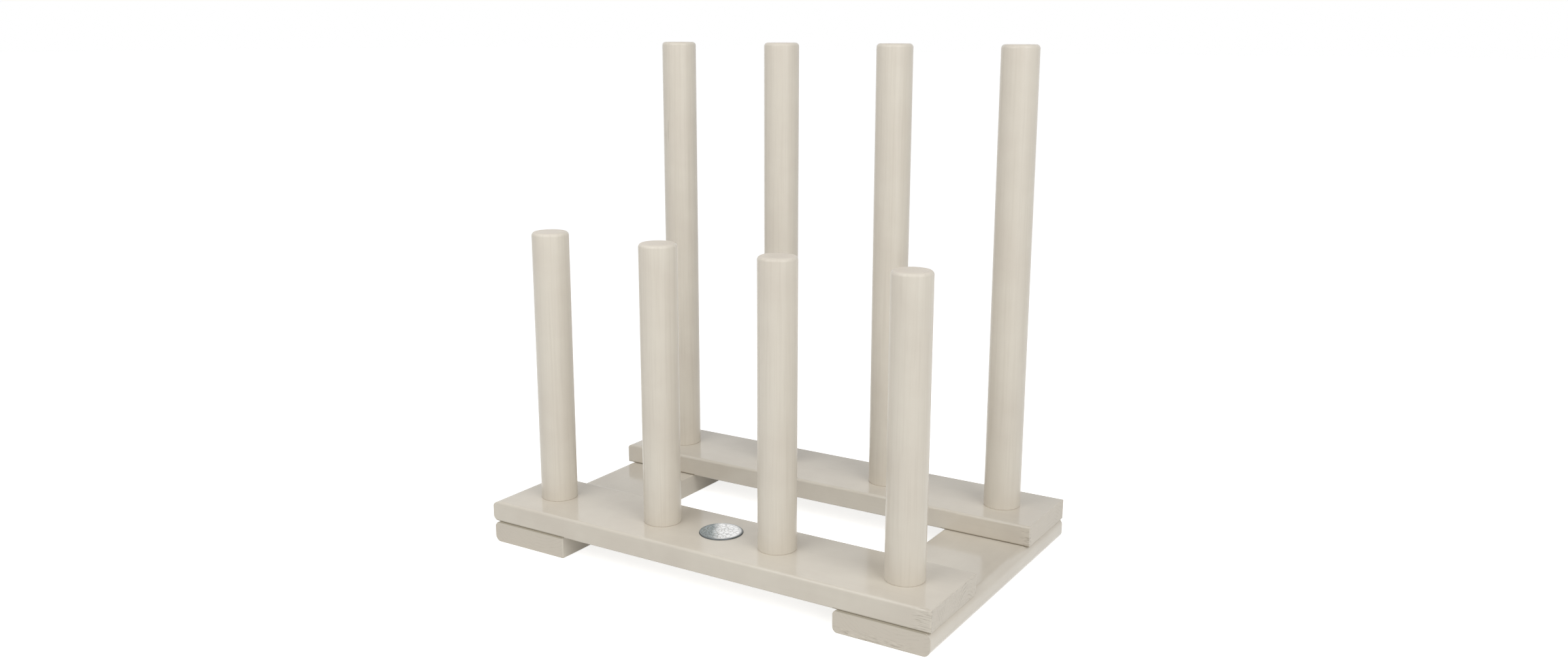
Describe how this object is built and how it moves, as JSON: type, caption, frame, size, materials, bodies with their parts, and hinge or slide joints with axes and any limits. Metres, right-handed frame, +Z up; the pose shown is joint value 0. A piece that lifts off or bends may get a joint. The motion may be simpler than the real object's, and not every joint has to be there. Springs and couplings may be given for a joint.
{
  "type": "boot rack",
  "caption": "Low painted softwood boot rack: rows of short and tall round pegs on two rails over two bearers, with a small inlaid metal disc.",
  "frame": {"origin": "on the floor at the middle of the footprint", "axes": "+Z up; +X along the rails, to the right seen from the front; +Y from the short front pegs to the tall rear pegs"},
  "size_m": [0.47, 0.3, 0.476],
  "materials": {
    "painted_softwood": "warm stone grey satin paint on planed softwood, brushed",
    "cast_pewter": "bright cast pewter with a lightly hammered field",
    "zinc_plated_steel": "zinc-plated countersunk wood screws"
  },
  "bodies": {
    "root": {"left_bearer": "painted_softwood", "right_bearer": "painted_softwood", "front_rail": "painted_softwood", "rear_rail": "painted_softwood", "inlaid_disc": "cast_pewter", "front_peg_1": "painted_softwood", "front_peg_screw_1": "zinc_plated_steel", "front_peg_2": "painted_softwood", "front_peg_screw_2": "zinc_plated_steel", "front_peg_3": "painted_softwood", "front_peg_screw_3": "zinc_plated_steel", "front_peg_4": "painted_softwood", "front_peg_screw_4": "zinc_plated_steel", "rear_peg_1": "painted_softwood", "rear_peg_screw_1": "zinc_plated_steel", "rear_peg_2": "painted_softwood", "rear_peg_screw_2": "zinc_plated_steel", "rear_peg_3": "painted_softwood", "rear_peg_screw_3": "zinc_plated_steel", "rear_peg_4": "painted_softwood", "rear_peg_screw_4": "zinc_plated_steel", "front_left_joint_screws": "zinc_plated_steel", "front_right_joint_screws": "zinc_plated_steel", "rear_left_joint_screws": "zinc_plated_steel", "rear_right_joint_screws": "zinc_plated_steel"}
  },
  "joints": []
}
